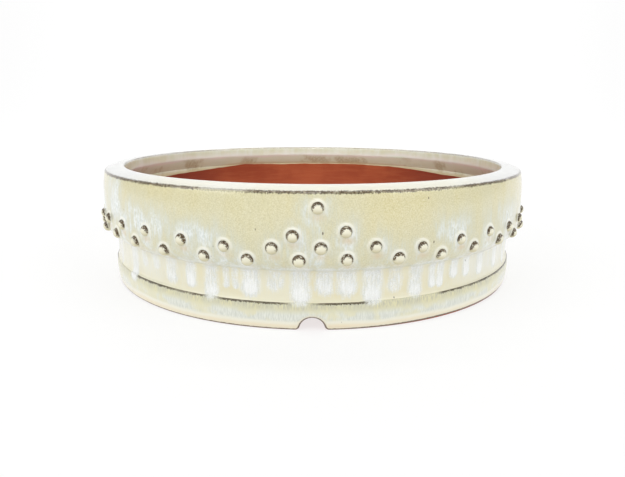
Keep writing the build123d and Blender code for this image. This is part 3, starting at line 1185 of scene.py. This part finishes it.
@dataclass(frozen=True)
class GlazeRuns:
    """All the runs: the front ones listed one by one, and the rest by a fixed seed."""

    top_z: float
    seed: int = 11
    thickness: float = 0.42
    front: Tuple[GlazeRun, ...] = (
        GlazeRun(-60.0, 3.0, 14.0, 0.8), GlazeRun(-49.2, 3.6, 9.9), GlazeRun(-44.0, 2.6, 20.0, 0.75),
        GlazeRun(-39.2, 2.6, 20.5, 0.75), GlazeRun(-33.8, 3.6, 15.6, 0.85), GlazeRun(-27.9, 3.0, 15.8),
        GlazeRun(-22.5, 3.7, 12.2, 0.95), GlazeRun(-18.8, 1.7, 18.2, 0.85), GlazeRun(-16.7, 1.7, 18.0, 0.85),
        GlazeRun(-13.2, 4.3, 15.2), GlazeRun(-7.7, 4.0, 18.2, 0.72), GlazeRun(-2.5, 4.5, 12.4),
        GlazeRun(2.6, 4.1, 16.6, 0.92), GlazeRun(7.3, 4.7, 15.9, 0.95), GlazeRun(12.9, 4.6, 12.2),
        GlazeRun(18.0, 3.7, 16.6, 0.74), GlazeRun(23.0, 3.6, 13.4, 0.95), GlazeRun(27.4, 2.0, 16.2),
        GlazeRun(29.7, 2.2, 15.8), GlazeRun(34.0, 2.7, 18.8), GlazeRun(38.3, 2.6, 18.0),
        GlazeRun(44.0, 2.6, 16.6), GlazeRun(52.0, 2.8, 16.8), GlazeRun(60.0, 2.8, 15.2),
    )

    def all(self) -> List[GlazeRun]:
        """Every run round the pot.

        Returns:
            The front runs, then the seeded ones.
        """
        chance = random.Random(self.seed)
        runs, turn = list(self.front), 65.0
        while turn < 295.0:
            foot = chance.choice((12.2, 15.5, 16.5, 17.5, 19.5, 21.0))
            half_width, drop = chance.uniform(1.4, 4.4), chance.uniform(-0.8, 0.8)
            runs.append(GlazeRun(turn, half_width, foot + drop, chance.uniform(0.55, 1.1)))
            turn += chance.uniform(3.2, 6.2)
        return runs

    def cover(self, turn: np.ndarray, z: np.ndarray, radius: float) -> np.ndarray:
        """How thickly the runs cover each place.

        Args:
            turn: degrees from the front.
            z: heights.
            radius: radius at which widths are measured.

        Returns:
            A value from 0 to about 1 for each place.
        """
        total = np.zeros_like(z)
        for run in self.all():
            aside = turns_from(turn, run.turn) * math.radians(1.0) * radius
            aside = aside + 0.18 * np.sin(z * 0.5 + run.turn)
            above = z - (run.foot_z + run.half_width * 0.9)
            wide = run.half_width * 1.12
            inside = np.where(above > 0, np.abs(aside) / wide, np.hypot(aside, above) / wide)
            body = unit((1.55 - inside) / 1.1)
            bulb = 0.88 + 0.18 * np.exp(-((above / 4.0) ** 2))
            total = np.maximum(total, body * body * (3 - 2 * body) * run.strength * bulb)
        return total * unit((self.top_z + 9.0 - z) / 8.0)


@dataclass(frozen=True)
class LedgeBridges:
    """Places where the glaze has flowed over the ledge and hides its dark line, as (middle, half width)."""

    spans: Tuple[Point, ...] = (
        (-58.0, 9.0), (-50.4, 2.4), (-2.4, 3.0), (21.0, 8.5), (-22.3, 1.6), (84.0, 6.0),
        (118.0, 4.0), (151.0, 9.0), (196.0, 5.0), (233.0, 8.0), (268.0, 4.5),
    )

    def cover(self, turn: np.ndarray) -> np.ndarray:
        """How fully the line is hidden at each angle."""
        total = np.zeros_like(turn)
        for middle, half in self.spans:
            aside = np.abs(turns_from(turn, middle))
            total = np.maximum(total, unit((half + 1.2 - aside) / 2.4))
        return total


# ------------------------------------------------------------ meshes


class RingMesh:
    """A thrown ring as a plain mesh, with its relief and its attributes."""

    def __init__(self, mesh: bpy.types.Mesh) -> None:
        """Read the mesh's vertices.

        Args:
            mesh: a plain mesh in metres.
        """
        self.mesh = mesh
        flat = np.empty(len(mesh.vertices) * 3)
        mesh.vertices.foreach_get("co", flat)
        self.at = flat.reshape(-1, 3) / MM
        if self._volume() < 0:
            mesh.flip_normals()
        mesh.vertices.foreach_get("normal", flat)
        self.normal = flat.reshape(-1, 3).copy()
        self.radius = np.hypot(self.at[:, 0], self.at[:, 1])
        self.turn = np.degrees(np.arctan2(self.at[:, 0], -self.at[:, 1]))
        self.z = self.at[:, 2].copy()

    def _volume(self) -> float:
        """Signed volume of the mesh in cubic millimetres."""
        self.mesh.calc_loop_triangles()
        corners = np.empty(len(self.mesh.loop_triangles) * 3, dtype=np.int32)
        self.mesh.loop_triangles.foreach_get("vertices", corners)
        a, b, c = (self.at[corners.reshape(-1, 3)[:, k]] for k in range(3))
        return float(np.einsum("ij,ij->", a, np.cross(b, c)) / 6)

    def push(self, amount: np.ndarray) -> None:
        """Move each vertex along its normal by an amount in millimetres."""
        self.at += self.normal * amount[:, None]

    def mark(self, name: str, values: np.ndarray) -> None:
        """Store a value on each vertex for the finish to read."""
        layer = self.mesh.attributes.new(name, "FLOAT", "POINT")
        layer.data.foreach_set("value", np.ascontiguousarray(values, dtype=np.float32))

    def add_to(self, name: str, values: np.ndarray) -> None:
        """Raise a value already stored on each vertex."""
        layer = self.mesh.attributes[name]
        held = np.empty(len(self.z), dtype=np.float32)
        layer.data.foreach_get("value", held)
        layer.data.foreach_set("value", np.ascontiguousarray(np.maximum(held, values), dtype=np.float32))

    def write(self) -> bpy.types.Mesh:
        """Put the moved vertices back.

        Returns:
            The finished mesh.
        """
        self.mesh.vertices.foreach_set("co", (self.at * MM).ravel())
        self.mesh.set_sharp_from_angle(angle=math.radians(40.0))
        self.mesh.update()
        return self.mesh


@dataclass
class Piece:
    """What every visible piece of the pot shares: how it joins the scene and the frame."""

    pot: PotMeasures
    effects: SharedEffects

    def place(
        self, name: str, mesh: bpy.types.Mesh, material: bpy.types.Material, slot: str, nodes: Sequence[str]
    ) -> bpy.types.Object:
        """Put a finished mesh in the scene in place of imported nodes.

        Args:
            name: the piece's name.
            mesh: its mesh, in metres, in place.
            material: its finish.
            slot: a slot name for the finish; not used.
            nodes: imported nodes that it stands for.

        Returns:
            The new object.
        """
        mesh.materials.clear()
        mesh.materials.append(material)
        piece = join_scene(name, mesh)
        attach(piece, "root")
        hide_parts(*nodes)
        LOG.info("%s: %d vertices, stands for %s", name, len(mesh.vertices), ", ".join(nodes))
        return piece


@dataclass
class ThrownRing(Piece):
    """A ring of the pot's body, turned from an outline by the lathe tree."""

    lathe: LatheTree
    columns: int = 1080
    crowding: float = 0.0
    wobble: float = 0.25
    seed: float = 1.0

    def turn_outline(self, name: str, outline: Outline, material: bpy.types.Material) -> RingMesh:
        """Turn an outline about the axis.

        Args:
            name: the mesh's name.
            outline: the section.
            material: its finish.

        Returns:
            The ring, ready for its relief.
        """
        points = outline.closed()
        wire = bpy.data.meshes.new(name + "_outline")
        wire.from_pydata(
            [(r * MM, 0.0, z * MM) for r, z in points], [(k, k + 1) for k in range(len(points) - 1)], []
        )
        mesh = self.lathe.run(name, wire, {
            "Rows": len(points), "Columns": self.columns, "Crowding": self.crowding,
            "Wobble": self.wobble * MM, "Seed": self.seed, "Material": material,
        })
        return RingMesh(mesh)


@dataclass
class GlazedWall(ThrownRing):
    """What the drum wall and the rim share: pooled glaze round the studs, partly painted as a highlight, and
    in broad clouds.

    A cloud is its angle, height, spread in degrees, spread in millimetres and strength.
    """

    studs: StudLayout = StudLayout()
    front_clouds: Tuple[Tuple[float, ...], ...] = (
        (-53.0, 53.0, 6.0, 15.0, 1.0), (-66.0, 46.0, 6.0, 12.0, 0.8), (-42.0, 45.0, 13.0, 11.0, 0.95),
        (-24.0, 43.0, 9.0, 8.0, 0.85), (0.0, 37.0, 14.0, 6.0, 0.75), (30.0, 44.0, 9.0, 9.0, 0.75),
        (50.0, 45.0, 11.0, 10.0, 0.75), (68.0, 42.0, 9.0, 12.0, 0.8),
    )
    cloud_count: int = 12
    cloud_seed: int = 5

    def dress_studs(self, ring: RingMesh) -> None:
        """Pool glaze round each stud, in relief and as attributes; the pale ring round each stud is painted
        near white as a highlight.

        Args:
            ring: the ring whose outside carries studs.
        """
        outside = ring.radius > self.pot.belly_radius - 6.0
        haze, thin, halo, swell = (np.zeros_like(ring.z) for _ in range(4))
        for turn, z in self.studs.everywhere():
            dx = turns_from(ring.turn, turn) * math.radians(self.pot.belly_radius)
            dz = ring.z - z
            near = outside & (np.abs(dx) < 22.0) & (np.abs(dz) < 26.0)
            x, y = dx[near], dz[near]
            away = np.hypot(x, y)
            over = unit(0.55 + y / np.maximum(away, 0.1) * 0.45)
            # Painted highlight over pooled glaze: a pale ring round each stud, strongest on its upper side.
            halo[near] = np.maximum(halo[near], bell(away, 3.55, 0.60) * over)
            cloud = np.exp(-((x / 9.0) ** 2 + ((y + 2.0) / 9.0) ** 2)) * 0.80
            tail = np.exp(-((x / 3.4) ** 2)) * unit(-y / 6.0) * 0.22
            haze[near] = np.maximum(haze[near], cloud + tail)
            bald = np.exp(-(((x - 0.8) / 2.8) ** 2 + ((y + 4.0) / 1.6) ** 2)) * 0.75
            thin[near] = np.maximum(thin[near], bald)
            swell[near] = np.maximum(swell[near], unit(1.0 - (away - 2.4) / 1.8) ** 2 * 0.45)
        haze = np.maximum(haze, self.clouds(ring) * outside)
        brow = unit((self.pot.waist_top_z + 6.0 - ring.z) / 5.0)
        haze = np.maximum(haze, brow * 0.85 * outside)
        ring.push(swell)
        ring.mark("haze", unit(haze))
        ring.mark("thin", thin)
        ring.mark("halo", unit(halo) * outside)

    def clouds(self, ring: RingMesh) -> np.ndarray:
        """How pale the broad patches are where the glaze lies thicker.

        Args:
            ring: the ring whose outside has them.

        Returns:
            A value from 0 to 1 for each vertex.
        """
        chance = random.Random(self.cloud_seed)
        guesses = ((80.0, 280.0), (40.0, 56.0), (5.0, 10.0), (8.0, 15.0), (0.35, 0.8))
        patches = list(self.front_clouds)
        patches += [tuple(chance.uniform(*span) for span in guesses) for _ in range(self.cloud_count)]
        total = np.zeros_like(ring.z)
        for turn, z, spread, tall, strength in patches:
            aside = turns_from(ring.turn, turn)
            total = np.maximum(
                total, strength * np.exp(-((aside / spread) ** 2 + ((ring.z - z) / tall) ** 2))
            )
        return total


@dataclass
class DrumWall(GlazedWall):
    """The bulging wall ring under the rim."""

    runs: Optional[GlazeRuns] = None
    thickness: float = 8.5
    brow_height: float = 7.4
    brow_reach: float = 4.43
    inner_inset: float = 4.6

    def build(self) -> bpy.types.Object:
        """Turn, dress and place the wall.

        Returns:
            The finished piece.
        """
        p = self.pot
        material = DrumGlaze("cream_glaze_drum", self.effects).build()
        inner = p.belly_radius - self.thickness
        foot = p.belly_radius - self.brow_reach
        o = Outline(step=0.75).start(p.joint_radius, p.joint_z)
        o.bow(p.belly_radius, p.waist_top_z + self.brow_height, 0.02)
        o.bow(foot + 0.15, p.waist_top_z + 0.5, 0.95, 0.5)
        o.corner((foot - 0.25, p.waist_top_z), (foot - 1.1, p.waist_top_z + 0.1))
        o.line(p.waist_radius - 1.2, p.waist_top_z + 0.1, 0.6)
        o.line(inner - self.inner_inset, p.waist_top_z, 4.0)
        o.bow(inner, p.joint_z, -1.0, 1.2)
        o.line(p.joint_radius, p.joint_z, 4.0)
        ring = self.turn_outline("drum_wall_glazed", o, material)
        self.dress_studs(ring)
        brow = ring.radius > foot - 3.0
        cover = self.runs.cover(ring.turn, ring.z, p.waist_radius) * brow
        low = unit((p.waist_top_z + 4.5 - ring.z) / 3.5) * brow
        ripple = 0.35 + 0.30 * np.sin(np.radians(ring.turn * 7.0) + 1.0)
        ring.add_to("thin", low * unit(1.0 - 2.2 * cover) * ripple)
        ring.mark("run", cover * unit((p.waist_top_z + 8.0 - ring.z) / 7.0) * 0.9)
        # Where painted shade darkens the crease at the foot of the brow.
        ring.mark("crease", unit((p.waist_top_z + 1.2 - ring.z) / 1.0) * brow)
        return self.place("drum_wall_glazed", ring.write(), material, "cream_glaze", ["drum_wall"])


@dataclass
class RimLip(GlazedWall):
    """The thick rim with its sloping crown and inward lip."""

    arris: Point = (127.8, 65.0)
    mouth_inset: float = 12.8
    wall_inset: float = 8.5
    lip_face: float = 5.4
    lip_round: float = 1.4

    def build(self) -> bpy.types.Object:
        """Turn, dress and place the rim.

        Returns:
            The finished piece.
        """
        p = self.pot
        material = RimGlaze("cream_glaze_rim", self.effects).build()
        mouth = p.belly_radius - self.mouth_inset
        face_top = p.crest_z - self.lip_round
        face_foot = face_top - self.lip_face
        r, z = self.arris
        o = Outline(step=0.75).start(p.joint_radius, p.joint_z)
        o.line(p.belly_radius - self.wall_inset, p.joint_z, 4.0)
        o.corner((mouth + 1.2, face_foot - 2.2), (mouth + 0.1, face_foot + 0.4), 10)
        o.line(mouth, face_top, 0.7)
        o.corner((mouth, p.crest_z), (mouth + self.lip_round, p.crest_z), 6)
        o.bow(r - 1.2, z + 0.24, 0.42, 0.7)
        o.corner((r - 0.05, z + 0.03), (r + 0.30, z - 1.25), 6)
        o.bow(p.joint_radius, p.joint_z, 0.30, 0.75)
        ring = self.turn_outline("rim_lip_glazed", o, material)
        self.dress_studs(ring)
        return self.place("rim_lip_glazed", ring.write(), material, "cream_glaze", ["rim_lip"])


@dataclass
class WaistBand(ThrownRing):
    """The recessed ring under the wall, with its runs of white glaze."""

    runs: Optional[GlazeRuns] = None
    hollow: float = 0.5
    fillet: float = 1.1
    inner_inset: float = 6.7

    def build(self) -> bpy.types.Object:
        """Turn, dress and place the waist.

        Returns:
            The finished piece.
        """
        p = self.pot
        material = WaistGlaze("cream_glaze_waist", self.effects).build()
        seat = p.floor_radius + 0.1
        o = Outline(step=0.6).start(p.waist_radius + self.fillet, p.waist_top_z + 0.1)
        o.corner(
            (p.waist_radius - 0.05, p.waist_top_z - 0.2), (p.waist_radius - 0.12, p.waist_top_z - 2.2), 6
        )
        o.bow(p.waist_radius - 0.12, p.ledge_z + 2.2, 0.35 - self.hollow)
        o.corner((p.waist_radius + 0.05, p.ledge_z + 0.3), (p.waist_radius + 0.75, p.ledge_z), 6)
        o.line(seat, p.ledge_z, 2.0)
        o.line(seat, p.floor_top_z, 2.0)
        o.line(p.floor_radius - 7.1, p.floor_top_z, 3.0)
        o.line(p.waist_radius - self.inner_inset, p.waist_top_z, 1.5)
        o.line(p.waist_radius + self.fillet, p.waist_top_z + 0.1, 2.0)
        ring = self.turn_outline("waist_band_glazed", o, material)
        outside = ring.radius > p.waist_radius - 1.0
        cover = self.runs.cover(ring.turn, ring.z, p.waist_radius) * outside
        ring.push(cover * self.runs.thickness)
        ring.mark("run", cover)
        # Where painted shade darkens the crease at the top of the waist.
        ring.mark("crease", unit((ring.z - (p.waist_top_z - 0.9)) / 0.9) * outside)
        rise = 0.35 + 0.65 * unit((ring.z - 14.5) / 5.0)
        sides = unit((np.abs(ring.turn) - 26.0) / 16.0) * rise
        ring.mark("haze", sides * (0.75 + 0.25 * np.sin(np.radians(ring.turn * 9.0))) * outside)
        return self.place("waist_band_glazed", ring.write(), material, "cream_glaze", ["waist_band"])


@dataclass
class FootRing(ThrownRing):
    """The ring that the pot stands on, with its ledge and three notches."""

    runs: Optional[GlazeRuns] = None
    bridges: LedgeBridges = LedgeBridges()
    sole_inset: float = 1.03
    ring_width: float = 12.0
    ledge_inset: float = 0.43
    notch_radius: float = 6.0
    notch_flare: float = 2.2

    @property
    def notch_spread(self) -> float:
        """Half the notch's width at the sole, its flares included."""
        return math.sqrt((self.notch_radius + self.notch_flare) ** 2 - self.notch_flare * self.notch_flare)

    def notch_height(self, aside: np.ndarray) -> np.ndarray:
        """Height of the notch's roof above the sole.

        Args:
            aside: distances from the notch's middle.

        Returns:
            Heights, nought outside the notch.
        """
        x = np.abs(aside)
        r, f, spread = self.notch_radius, self.notch_flare, self.notch_spread
        meet = spread * r / (r + f)
        arch = np.sqrt(np.clip(r * r - x * x, 0.0, None))
        flare = f - np.sqrt(np.clip(f * f - (x - spread) ** 2, 0.0, None))
        return np.where(x < meet, arch, np.where(x < spread, flare, 0.0))

    def notch_distance(self, aside: np.ndarray, z: np.ndarray) -> np.ndarray:
        """Distance of places on the foot's face from the notch's edge.

        Args:
            aside: distances from the notch's middle.
            z: heights.

        Returns:
            Distances, never below nought.
        """
        x = np.abs(aside)
        r, f, spread = self.notch_radius, self.notch_flare, self.notch_spread
        by_arch = np.hypot(x, z) - r
        by_flare = f - np.hypot(x - spread, z - f)
        return np.clip(np.where(z * spread > x * f, by_arch, np.where(x < spread, by_flare, z)), 0.0, None)

    def build(self) -> bpy.types.Object:
        """Turn, notch, dress and place the foot.

        Returns:
            The finished piece.
        """
        p = self.pot
        material = FootGlaze("cream_glaze_foot", self.effects).build()
        ledge, sole = p.foot_radius - self.ledge_inset, p.foot_radius - self.sole_inset
        inner, seat = sole - self.ring_width, p.floor_radius + 0.1
        o = Outline(step=0.7).start(seat, p.ledge_z)
        o.line(p.waist_radius - 0.8, p.ledge_z, 2.0)
        o.line(ledge - 0.6, p.ledge_z, 0.5)
        o.corner((ledge, p.ledge_z), (ledge + 0.03, p.ledge_z - 0.6))
        o.bow(sole + 0.05, 0.9, 0.62)
        o.corner((sole, 0.0), (sole - 0.9, 0.0), 6)
        o.line(inner + 0.9, 0.0, 1.0)
        o.corner((inner, 0.0), (inner, 0.9), 6)
        o.line(inner, p.floor_under_z, 1.0)
        o.line(seat, p.floor_under_z, 2.0)
        o.line(seat, p.ledge_z, 2.0)
        ring = self.turn_outline("foot_ring_glazed", o, material)
        outside = (ring.radius > p.waist_radius - 1.0) & (ring.z > 3.0)
        cover = self.runs.cover(ring.turn, ring.z, p.waist_radius) * outside
        shell = ring.radius > sole - 0.9
        edge = ring.z.copy()
        ring.push(cover * self.runs.thickness)
        for third in Third:
            aside = np.radians(turns_from(ring.turn, third.value))
            front = np.abs(aside) < 0.2
            across = np.sin(aside) * ring.radius
            roof = np.where(front, self.notch_height(across), 0.0)
            room = p.floor_under_z - 0.4
            lowered = front & (ring.z < room)
            ring.at[:, 2] = np.where(lowered, roof + ring.at[:, 2] * (1.0 - roof / room), ring.at[:, 2])
            edge = np.where(front, np.minimum(edge, self.notch_distance(across, ring.at[:, 2])), edge)
        ring.mark("run", cover)
        ring.mark("bridge", self.bridges.cover(ring.turn))
        bare = unit((ring.turn - 8.0) / 22.0) * unit((64.0 - ring.turn) / 10.0) * 0.60
        lip = np.where(shell, edge - bare + np.clip((ring.radius - sole + 0.15), -1.0, 0.0), 0.0)
        ring.mark("lip", np.clip(lip, 0.0, 3.0))
        return self.place("foot_ring_glazed", ring.write(), material, "cream_glaze", ["foot_ring"])


@dataclass
class FloorSlab(Piece):
    """The pierced floor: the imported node, with a clay finish."""

    def build(self) -> bpy.types.Object:
        """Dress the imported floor.

        Returns:
            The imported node's object.
        """
        material = BareClay("bare_clay", self.effects, Sheen(specular=0.25, coat=0.0, bump=0.25)).build()
        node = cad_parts["floor_slab"]
        node.data.materials.clear()
        node.data.materials.append(material)
        LOG.info("floor_slab: packed shape kept, clay finish")
        return node


@dataclass
class Studs(Piece):
    """Every group of ball studs."""

    tree: StudTree
    layout: StudLayout = StudLayout()
    unevenness: float = 0.10
    first_seed: int = 3

    def build(self) -> List[bpy.types.Object]:
        """Set out, dress and place each group.

        Returns:
            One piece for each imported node.
        """
        sheen = Sheen(specular=0.22, coat=0.10, coat_roughness=0.04, bump=0.25)
        material = StudGlaze("broken_stud_glaze", self.effects, sheen).build()
        pieces = []
        for number, (row, third) in enumerate((r, t) for r in StudRow for t in Third):
            first, count = self.layout.first_and_count(row, third)
            node = f"{row.value}_{third.label}"
            strays = bpy.data.meshes.new(node + "_strays")
            strays.from_pydata(
                [(right * MM, 0.0, up * MM) for right, up in self.layout.strays(row, third)], [], []
            )
            mesh = self.tree.run(node + "_glazed", strays, {
                "Count": count, "First Turn": math.radians(first), "Step": math.radians(self.layout.step),
                "Reach": self.layout.reach(row, self.pot) * MM, "Height": self.layout.centre_z(row) * MM,
                "Ball Radius": (self.layout.radius() + self.layout.coat) * MM,
                "Unevenness": self.unevenness, "Seed": number + self.first_seed, "Material": material,
            })
            pieces.append(self.place(node + "_glazed", mesh, material, "stud_glaze", [node]))
        return pieces


# ------------------------------------------------------------ studio


@dataclass(frozen=True)
class Lamp:
    """One lamp: a square soft one, or a narrow one when it has a beam in degrees."""

    name: str
    place: Place
    width: float
    watts: float
    aim: Place = (0.0, 0.0, 0.03)
    beam: Optional[float] = None
    blend: float = 0.4

    def hang(self) -> None:
        """Put the lamp in the scene and turn it to its aim."""
        light = bpy.data.lights.new(self.name, "SPOT" if self.beam else "AREA")
        light.energy = self.watts
        if self.beam:
            light.spot_size = math.radians(self.beam)
            light.spot_blend = self.blend
            light.shadow_soft_size = self.width
        else:
            light.size = self.width
        held = join_scene(self.name, light)
        held.location = self.place
        held.rotation_euler = (Vector(self.aim) - Vector(self.place)).to_track_quat("-Z", "Y").to_euler()


@dataclass(frozen=True)
class Studio:
    """Pale sweep, lamps and camera. The lamp called inside reaches the far inner wall over the rim."""

    distance: float = 0.3493
    height: float = 0.0984
    pitch: float = 13.72
    roll: float = 0.24
    lens: float = 30.4
    sensor: float = 36.0
    near_clip: float = 0.01
    world_strength: float = 0.50
    sweep_glow: float = 0.74
    sweep_grey: float = 0.26
    sweep_drop: float = -0.00005
    lamps: Tuple[Lamp, ...] = (
        Lamp("key_left", (-0.88, -0.60, 0.70), 0.8, 4.9),
        Lamp("key_right", (0.88, -0.60, 0.70), 0.8, 4.6),
        Lamp("inside", (0.0, -0.55, 0.49), 0.06, 6.5, (0.0, 0.12, 0.056), beam=24.0),
        Lamp("glint", (-0.25, -0.60, 0.75), 0.10, 0.35),
        Lamp("back", (0.0, 1.10, 2.20), 2.0, 36.0, (0.0, 2.8, 0.9)),
    )

    def build(self) -> None:
        """Build the sweep, the world, the lamps and the camera."""
        self._sweep()
        self._world()
        for lamp in self.lamps:
            lamp.hang()
        self._camera()

    def _sweep(self) -> None:
        """Floor that curves up into a backdrop."""
        drop, flat, bend, wall, side = self.sweep_drop, 1.6, 1.2, 4.5, 5.0
        run = [(-4.0, drop), (flat, drop)]
        for a in np.linspace(0.1, math.pi / 2, 14):
            run.append((flat + bend * math.sin(a), drop + bend - bend * math.cos(a)))
        run.append((flat + bend, wall))
        mesh = bpy.data.meshes.new("sweep")
        verts = [(x, y, z) for y, z in run for x in (-side, side)]
        strips = [(2 * k, 2 * k + 1, 2 * k + 3, 2 * k + 2) for k in range(len(run) - 1)]
        mesh.from_pydata(verts, [], strips)
        mesh.shade_smooth()
        material = bare_material("pale_sweep")
        given = material.node_tree.nodes["Principled BSDF"].inputs
        given["Base Color"].default_value = (self.sweep_grey, self.sweep_grey, self.sweep_grey, 1.0)
        given["Emission Color"].default_value = (1.0, 1.0, 1.0, 1.0)
        given["Emission Strength"].default_value = self.sweep_glow
        given["Roughness"].default_value = 0.9
        given["Specular IOR Level"].default_value = 0.0
        mesh.materials.append(material)
        join_scene("sweep", mesh)

    def _world(self) -> None:
        """Even pale surroundings."""
        world = bpy.data.worlds.new("pale_room")
        world.use_nodes = True
        shade = world.node_tree.nodes["Background"]
        shade.inputs["Color"].default_value = (1.0, 1.0, 1.0, 1.0)
        shade.inputs["Strength"].default_value = self.world_strength
        bpy.context.scene.world = world
        bpy.context.scene.view_settings.view_transform = "Standard"

    def _camera(self) -> None:
        """Camera in front of the pot, a little above its rim."""
        lens = bpy.data.cameras.new("camera")
        lens.lens = self.lens
        lens.sensor_width = self.sensor
        lens.clip_start = self.near_clip
        held = join_scene("camera", lens)
        tilt = Euler((math.radians(90.0 - self.pitch), 0.0, 0.0)).to_matrix()
        turn = tilt @ Euler((0.0, 0.0, math.radians(self.roll))).to_matrix()
        held.matrix_world = Matrix.Translation((0.0, -self.distance, self.height)) @ turn.to_4x4()
        bpy.context.scene.camera = held


def main() -> None:
    """Build the pot piece by piece, then the studio round it."""
    logging.basicConfig(level=logging.INFO, format="%(name)s: %(message)s")
    pot = PotMeasures.from_frame()
    effects = SharedEffects()
    lathe = LatheTree()
    runs = GlazeRuns(top_z=pot.waist_top_z)
    RimLip(pot, effects, lathe, seed=1.0).build()
    DrumWall(pot, effects, lathe, seed=1.0, runs=runs).build()
    WaistBand(pot, effects, lathe, seed=2.0, runs=runs).build()
    FootRing(pot, effects, lathe, seed=3.0, crowding=0.8, runs=runs).build()
    FloorSlab(pot, effects).build()
    Studs(pot, effects, StudTree()).build()
    Studio().build()


if __name__ == "__main__":
    main()
